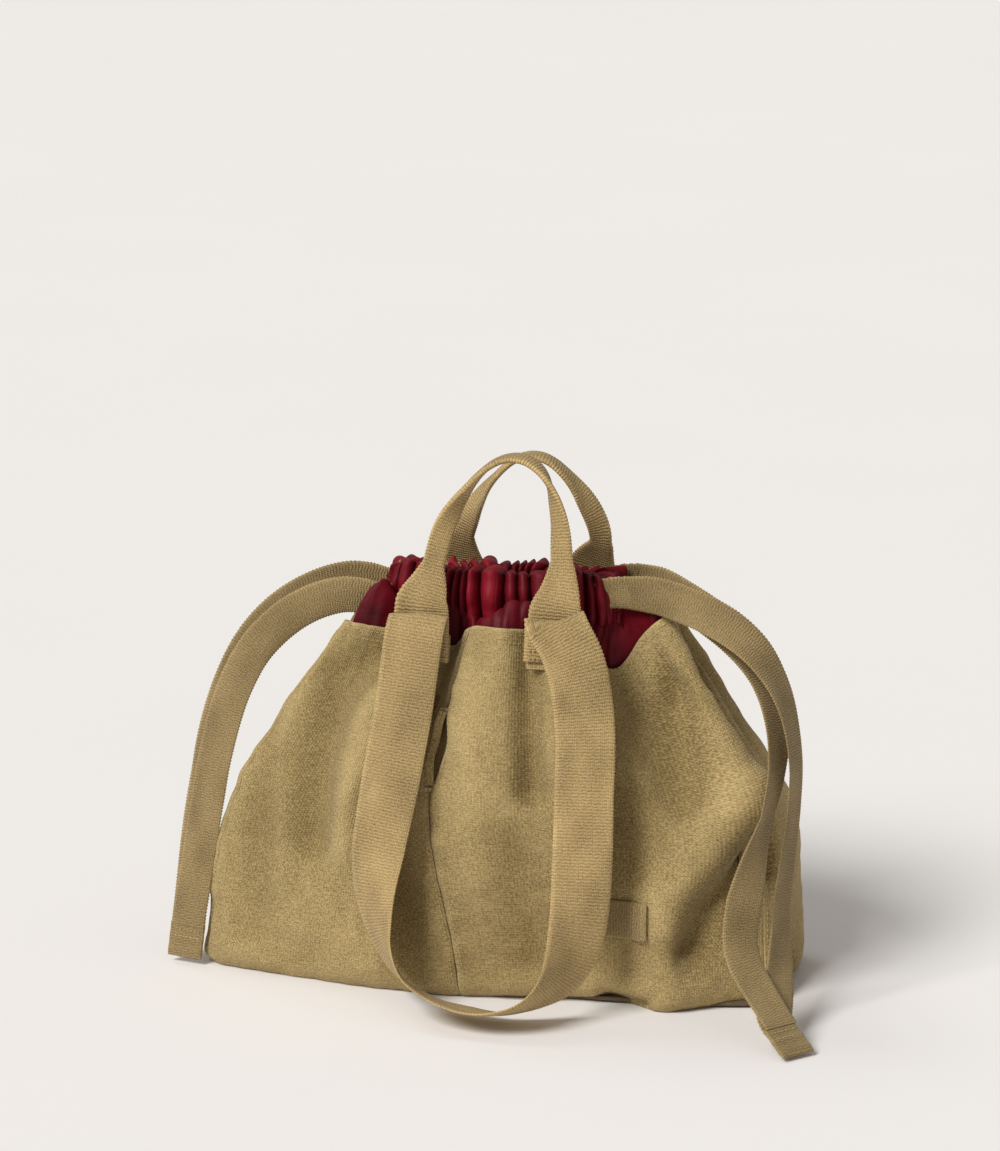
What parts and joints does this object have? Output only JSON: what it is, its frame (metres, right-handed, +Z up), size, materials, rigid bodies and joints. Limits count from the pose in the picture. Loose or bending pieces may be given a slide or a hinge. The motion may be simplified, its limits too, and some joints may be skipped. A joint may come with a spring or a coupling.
{
  "type": "drawstring bucket bag",
  "caption": "Canvas bucket bag with pleated side gussets, a gathered nylon collar drawn up by webbing drawstrings, short grab handles and long shoulder straps.",
  "frame": {"origin": "centre of the base's underside, on the floor", "axes": "+Z up, front with the pocket and label towards -Y, +X to the viewer's right when looking at the front"},
  "size_m": [0.4681, 0.317, 0.3655],
  "materials": {
    "canvas": "stone-washed plain-weave cotton canvas, matt, khaki",
    "nylon": "satin-faced burgundy nylon",
    "webbing": "tan herringbone webbing, slight sheen",
    "narrow_webbing": "tan narrow webbing, slight sheen",
    "board": "black stiffener board",
    "label": "olive-brown ribbed woven tab, blank",
    "thread": "tan sewing thread"
  },
  "bodies": {
    "bag": {"anchor_patches_back": "canvas", "anchor_patches_front": "canvas", "anchor_stitching_back": "thread", "anchor_stitching_front": "thread", "back_panel": "canvas", "base_board": "board", "base_panel": "canvas", "collar_casing_back": "nylon", "collar_casing_front": "nylon", "front_panel_centre": "canvas", "front_panel_left": "canvas", "grab_handle_back_ends": "webbing", "grab_handle_front_ends": "webbing", "label_patch": "label", "label_stitching": "thread", "lining_back": "nylon", "lining_base": "nylon", "lining_front": "nylon", "lining_skirt_back": "nylon", "lining_skirt_front": "nylon", "pocket_bag": "nylon", "pocket_bartacks": "thread", "pocket_welt": "canvas", "rim_facing": "canvas", "rim_topstitching": "thread", "shoulder_strap_back_ends": "webbing", "shoulder_strap_front_ends": "webbing", "side_gusset_left": "canvas", "side_gusset_right": "canvas"},
    "grab_handle_front": {"grab_handle_front": "webbing"},
    "grab_handle_back": {"grab_handle_back": "webbing"},
    "shoulder_strap_front": {"shoulder_strap_front": "webbing"},
    "shoulder_strap_back": {"shoulder_strap_back": "webbing"},
    "drawstring_left_slider": {"drawstring_left_run": "narrow_webbing"},
    "drawstring_right_slider": {"drawstring_right_run": "narrow_webbing"},
    "drawstring_left": {"drawstring_left_strand_back": "narrow_webbing", "drawstring_left_strand_front": "narrow_webbing", "drawstring_left_tab": "narrow_webbing", "drawstring_left_tab_stitching": "thread"},
    "drawstring_right": {"drawstring_right_strand_back": "narrow_webbing", "drawstring_right_strand_front": "narrow_webbing", "drawstring_right_tab": "narrow_webbing", "drawstring_right_tab_stitching": "thread"}
  },
  "joints": [
    {"name": "grab_handle_front_swing", "type": "hinge", "parent": "bag", "child": "grab_handle_front", "pos_m": [0, -0.0525, 0.262], "axis": [1, 0, 0], "range_deg": [0, 65]},
    {"name": "grab_handle_back_swing", "type": "hinge", "parent": "bag", "child": "grab_handle_back", "pos_m": [0, 0.0525, 0.262], "axis": [-1, 0, 0], "range_deg": [0, 65]},
    {"name": "shoulder_strap_front_swing", "type": "hinge", "parent": "bag", "child": "shoulder_strap_front", "pos_m": [0, -0.0575, 0.257], "axis": [1, 0, 0], "range_deg": [-120, 0]},
    {"name": "shoulder_strap_back_swing", "type": "hinge", "parent": "bag", "child": "shoulder_strap_back", "pos_m": [0, 0.0575, 0.257], "axis": [-1, 0, 0], "range_deg": [-120, 0]},
    {"name": "drawstring_left_pull", "type": "slide", "parent": "bag", "child": "drawstring_left_slider", "axis": [-1, 0, 0], "range_m": [0, 0.014]},
    {"name": "drawstring_right_pull", "type": "slide", "parent": "bag", "child": "drawstring_right_slider", "axis": [1, 0, 0], "range_m": [0, 0.014]},
    {"name": "drawstring_left_lift", "type": "hinge", "parent": "drawstring_left_slider", "child": "drawstring_left", "pos_m": [-0.0876, 0, 0.258], "axis": [0, 1, 0], "range_deg": [0, 60]},
    {"name": "drawstring_right_lift", "type": "hinge", "parent": "drawstring_right_slider", "child": "drawstring_right", "pos_m": [0.0876, 0, 0.273], "axis": [0, -1, 0], "range_deg": [0, 60]}
  ]
}
